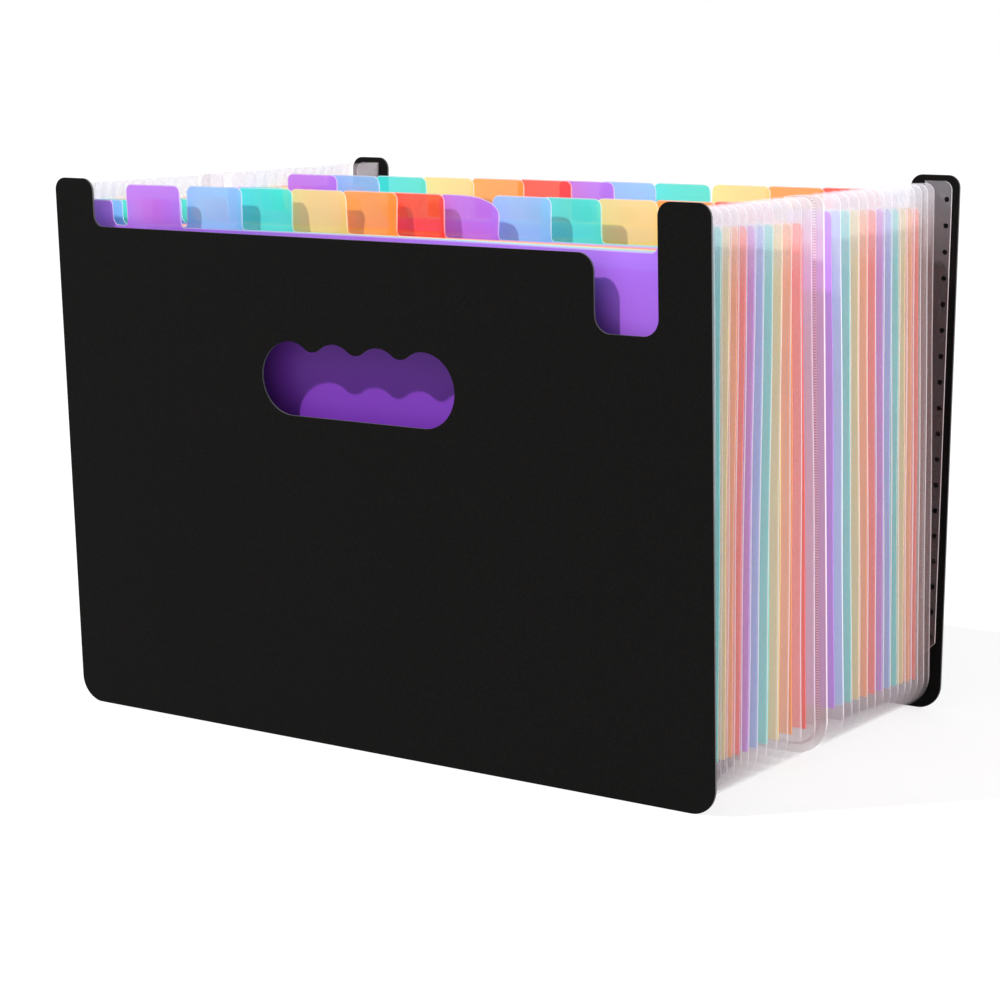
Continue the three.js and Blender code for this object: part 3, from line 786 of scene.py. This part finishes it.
def coloured_sheet(colour_name, colour):
    """Dyed translucent polypropylene, extruded with a satin face: an almost even colour, with painted
    shade low down in the pocket, a little light through it, and a painted highlight along the cut edge of
    the top."""
    material, tree = new_material("translucent_%s_polypropylene" % colour_name)
    base = np.array(linear(colour)[:3])
    light_tone = (*np.minimum(base * LIGHT_TONE, 1).tolist(), 1.0)
    # Painted shade: the darker colour that the sheet takes low down in the pocket.
    shaded_tone = (*(POCKET_SHADE_TONE * base ** POCKET_SHADE_POWER).tolist(), 1.0)
    mark = {title: add_node(tree, "ShaderNodeAttribute", attribute_name=title).outputs["Fac"]
            for title in ("below_top", "inside_tab", "pocket_shade")}
    place = add_node(tree, "ShaderNodeTexCoord")
    cloud = add_node(tree, "ShaderNodeTexNoise", {
        "Vector": place.outputs["Object"], "Scale": 1 / (CLOUD_SIZE * MM), "Detail": 0.0})
    mottled = add_node(tree, "ShaderNodeMix", {
        0: cloud.outputs["Fac"], 6: linear(colour), 7: light_tone}, data_type="RGBA")
    tone = add_node(tree, "ShaderNodeMix", {0: mark["pocket_shade"], 6: mottled.outputs[2], 7: shaded_tone},
                    data_type="RGBA")
    # Painted highlight: a pale line along the cut edge of the top and the tab's sides, where the edge
    # catches the light.
    nearest = add_node(tree, "ShaderNodeMath", {0: mark["below_top"], 1: mark["inside_tab"]},
                       operation="MINIMUM")
    rim = add_node(tree, "ShaderNodeMapRange", {
        "Value": nearest.outputs[0], "From Min": EDGE_LINE[0], "From Max": EDGE_LINE[1],
        "To Min": EDGE_HIGHLIGHT_STRENGTH, "To Max": 0.0})
    edged = add_node(tree, "ShaderNodeMix", {
        0: rim.outputs[0], 6: tone.outputs[2], 7: linear(EDGE_HIGHLIGHT_WHITE)}, data_type="RGBA")
    geometry = add_node(tree, "ShaderNodeNewGeometry")
    opacity = add_node(tree, "ShaderNodeMapRange", {
        "Value": geometry.outputs["Backfacing"], "To Min": SHEET_OPACITY, "To Max": 0.0})
    plastic = add_node(tree, "ShaderNodeBsdfPrincipled", {
        "Base Color": edged.outputs[2], "Alpha": opacity.outputs[0], "Roughness": SHEET_ROUGHNESS,
        "IOR": POLYPROPYLENE_IOR, "Specular IOR Level": SHEET_GLOSS})
    through = add_node(tree, "ShaderNodeBsdfTranslucent", {"Color": edged.outputs[2]})
    share = add_node(tree, "ShaderNodeMath", {0: opacity.outputs[0], 1: LIGHT_THROUGH}, operation="MULTIPLY")
    both = add_node(tree, "ShaderNodeMixShader", {
        0: share.outputs[0], 1: plastic.outputs[0], 2: through.outputs[0]})
    add_node(tree, "ShaderNodeOutputMaterial", {"Surface": both.outputs[0]})
    return material


sheet_materials = [coloured_sheet(*entry) for entry in SHEET_COLOURS]
inner_edge = COVER_WIDTH / 2 - BELLOWS_INSET - EDGE_SETBACK - SHOULDER_WIDTH
first_tab = TAB_INSET - inner_edge
last_tab = inner_edge + LAST_TAB_REACH - TAB_WIDTH
chance = np.random.default_rng(CHANCE_SEED)
for order in range(2 * DIVIDERS_PER_HALF):
    half, index = divmod(order, DIVIDERS_PER_HALF)
    colour = order % len(SHEET_COLOURS)
    share = index / (DIVIDERS_PER_HALF - 1)
    fold = (rear_folds if half else front_folds)[index]
    tab_left = first_tab + (last_tab - first_tab) * share
    tab_left += (REAR_TAB_DRIFT if half else FRONT_TAB_DRIFT)[index]
    lift = SHEET_LIFT[0] + (SHEET_LIFT[1] - SHEET_LIFT[0]) * share
    bow = FIRST_BOW * max(0.0, 1 - order / BOWED_SHEETS) + chance.uniform(-BOW_CHANCE, BOW_CHANCE)
    tab_lean = chance.uniform(-LEAN_CHANCE, LEAN_CHANCE)
    divider = "divider_%02d_%s" % (order + 1, SHEET_COLOURS[colour][0])
    mesh = sheet(divider + "_sheet", fold, phases[half][index], tab_left, lift, bow, tab_lean,
                 float(order == BENT_TAB))
    place_piece(divider + "_sheet", mesh, sheet_materials[colour],
                divider)
